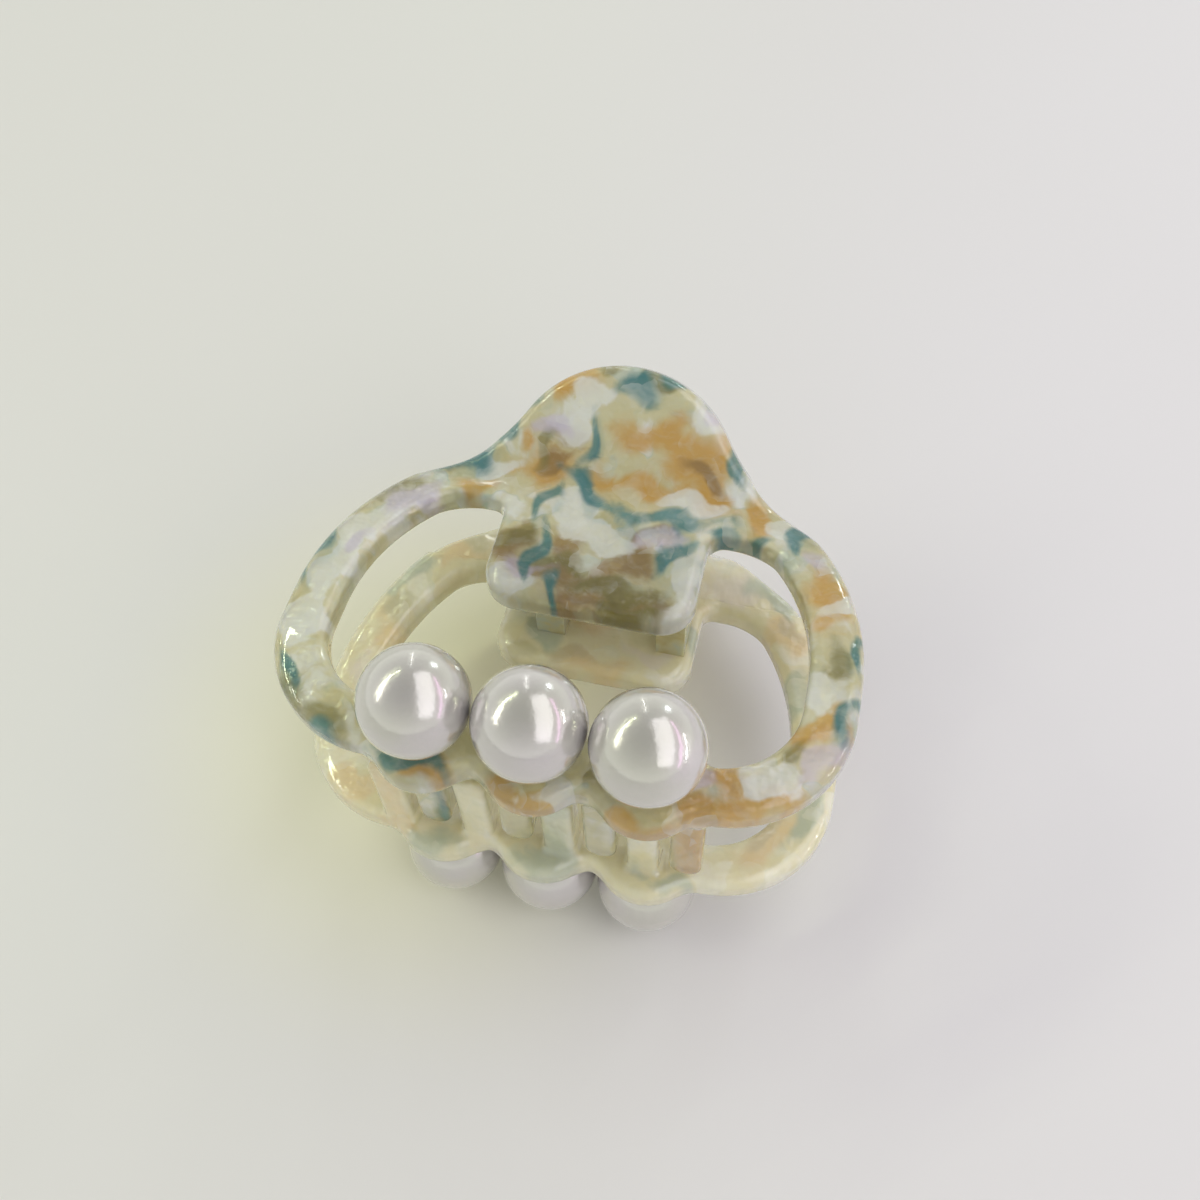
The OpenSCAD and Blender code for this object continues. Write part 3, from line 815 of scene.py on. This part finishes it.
def build_light():
    """A soft sky, darker overhead, a window on the right, and strips for the highlights."""
    world = bpy.data.worlds.new("studio")
    bpy.context.scene.world = world
    world.use_nodes = True
    tree = world.node_tree
    background = tree.nodes["Background"]
    direction = tree.nodes.new("ShaderNodeTexCoord").outputs["Generated"]
    height = tree.nodes.new("ShaderNodeSeparateXYZ")
    tree.links.new(direction, height.inputs[0])
    sky = tree.nodes.new("ShaderNodeValToRGB")
    tree.links.new(height.outputs[2], sky.inputs[0])
    sky.color_ramp.elements[0].color = HORIZON
    sky.color_ramp.elements[1].color = ZENITH
    tree.links.new(sky.outputs[0], background.inputs["Color"])
    background.inputs["Strength"].default_value = 1.0
    area_light("window", (0.54, -0.06, 0.84), (0.36, 1.10), 1.35, (0.97, 0.95, 1.0))
    area_light("window_edge", (0.86, 0.08, 0.50), (0.05, 0.90), 1.8, (1.0, 0.55, 1.0))
    area_light("leafy_strip", (-0.62, 0.22, 0.75), (0.010, 0.40), 22, (0.88, 1.0, 0.62), 40)
    area_light("second_strip", (-0.76, 0.02, 0.65), (0.008, 0.44), 22, (0.95, 1.0, 0.74), 40)
    area_light("left_strip", (-0.75, -0.19, 0.60), (0.012, 0.30), 20, (1.0, 0.99, 0.86), 30)
    area_light("back_glass", (0.29, 0.85, 0.42), (0.06, 0.04), 16, (0.86, 0.96, 1.0))
    area_light("back_strip", (-0.25, 0.80, 0.50), (0.40, 0.010), 6, (0.98, 1.0, 0.96))
    area_light("right_strip", (0.95, 0.10, 0.28), (0.010, 0.40), 22, (1.0, 0.98, 1.0))


CAMERA_AZIMUTH, CAMERA_ELEVATION, CAMERA_ROLL = (math.radians(a) for a in (15.5, 55.37, -2.62))
CAMERA_DISTANCE, CAMERA_TARGET = 124.6, np.array([0.17, 23.17, 0])


def build_camera():
    """The camera; its angles, distance and target are in the clip frame."""
    level = math.cos(CAMERA_ELEVATION)
    away = np.array([math.sin(CAMERA_AZIMUTH) * level, -math.cos(CAMERA_AZIMUTH) * level,
                     math.sin(CAMERA_ELEVATION)])
    right = np.cross(-away, (0, 0, 1))
    right /= np.linalg.norm(right)
    up = np.cross(right, -away)
    c, s = math.cos(CAMERA_ROLL), math.sin(CAMERA_ROLL)
    rolled_right = c * right + s * up
    rolled_up = c * up - s * right
    data = bpy.data.cameras.new("camera")
    data.sensor_width = 36
    data.lens = 36
    data.clip_start = 0.005
    camera = bpy.data.objects.new("camera", data)
    axes = [row_direction(a) for a in (rolled_right, rolled_up, away)]
    turn = Matrix(axes).transposed().to_4x4()
    place = to_row([CAMERA_TARGET + CAMERA_DISTANCE * away])[0]
    camera.matrix_world = Matrix.Translation(Vector(place)) @ turn
    bpy.context.scene.collection.objects.link(camera)
    bpy.context.scene.camera = camera


build_camera()
build_floor()
build_light()
build_jaws()
build_pearls(pearl_material())
steel = steel_material()
build_spring(steel)
build_pin(steel)
paint_nodes([f"{body}_peg_{side}" for body in JAW_TURNS for side in ("left", "middle", "right")], steel)
paint_nodes([f"{body}_knuckle_{place}" for body in JAW_TURNS for place in ("inner", "outer")],
            knuckle_material())
bpy.context.scene.view_settings.view_transform = "Standard"
